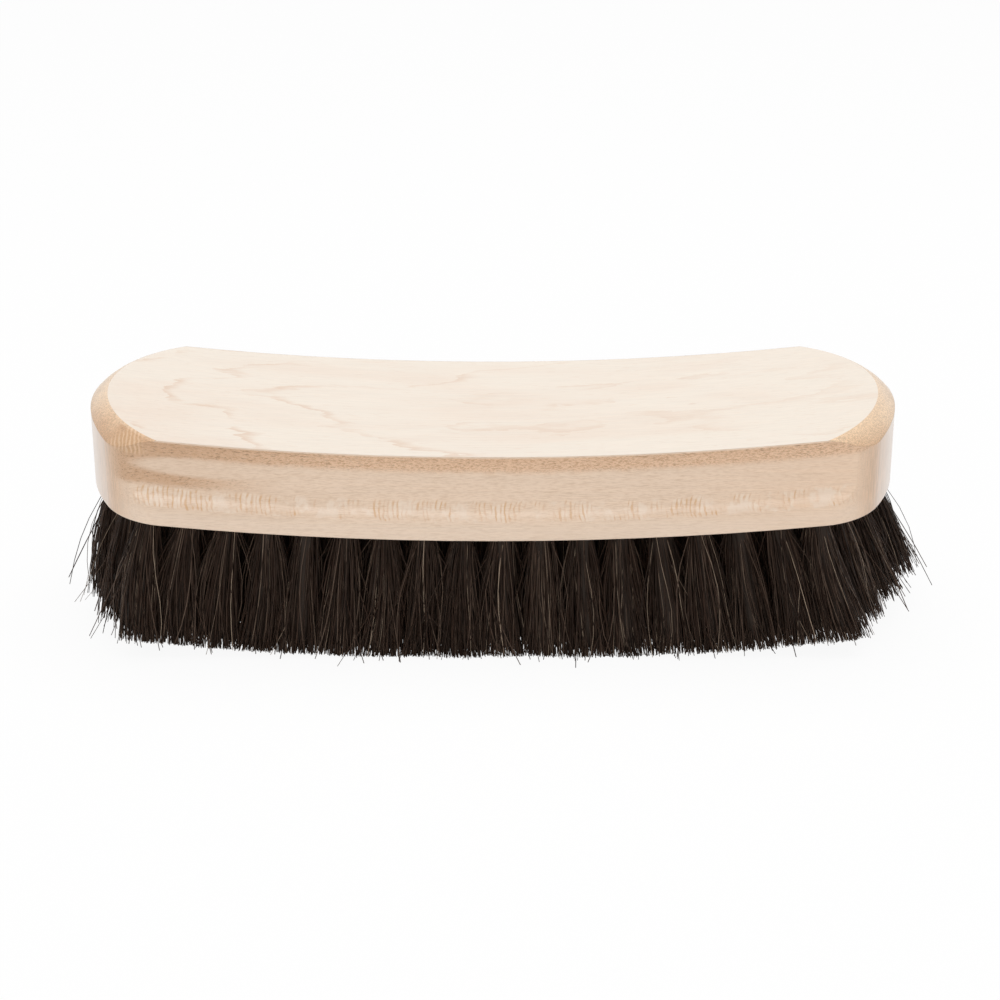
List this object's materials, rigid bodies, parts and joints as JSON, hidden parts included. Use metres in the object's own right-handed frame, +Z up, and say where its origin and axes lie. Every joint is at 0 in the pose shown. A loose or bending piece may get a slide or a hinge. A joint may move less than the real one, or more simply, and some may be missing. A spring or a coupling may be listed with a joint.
{
  "type": "shoe shine brush",
  "caption": "Rocker-shaped hardwood shoe shine brush with a hollowed top, finger grooves along both sides and staggered, staple-set tufts of dark horsehair.",
  "frame": {"origin": "on the ground under the middle of the brush, in the plane of the worn flat at the middle of the trimmed hair", "axes": "+X along the length of the brush, +Y across it towards the far side, +Z up from the hair to the hollowed top of the block"},
  "size_m": [0.181, 0.059, 0.0513],
  "materials": {
    "block_wood": "satin clear lacquer over pale maple",
    "hair": "matt dark brown horsehair, cut square at the tips",
    "staple_steel": "plain drawn wire"
  },
  "bodies": {
    "root": {"block": "block_wood", "tufts_01": "hair", "staples_01": "staple_steel", "tufts_02": "hair", "staples_02": "staple_steel", "tufts_03": "hair", "staples_03": "staple_steel", "tufts_04": "hair", "staples_04": "staple_steel", "tufts_05": "hair", "staples_05": "staple_steel", "tufts_06": "hair", "staples_06": "staple_steel", "tufts_07": "hair", "staples_07": "staple_steel", "tufts_08": "hair", "staples_08": "staple_steel", "tufts_09": "hair", "staples_09": "staple_steel", "tufts_10": "hair", "staples_10": "staple_steel", "tufts_11": "hair", "staples_11": "staple_steel", "tufts_12": "hair", "staples_12": "staple_steel", "tufts_13": "hair", "staples_13": "staple_steel", "tufts_14": "hair", "staples_14": "staple_steel", "tufts_15": "hair", "staples_15": "staple_steel", "tufts_16": "hair", "staples_16": "staple_steel", "tufts_17": "hair", "staples_17": "staple_steel", "tufts_18": "hair", "staples_18": "staple_steel", "tufts_19": "hair", "staples_19": "staple_steel", "tufts_20": "hair", "staples_20": "staple_steel"}
  },
  "joints": []
}
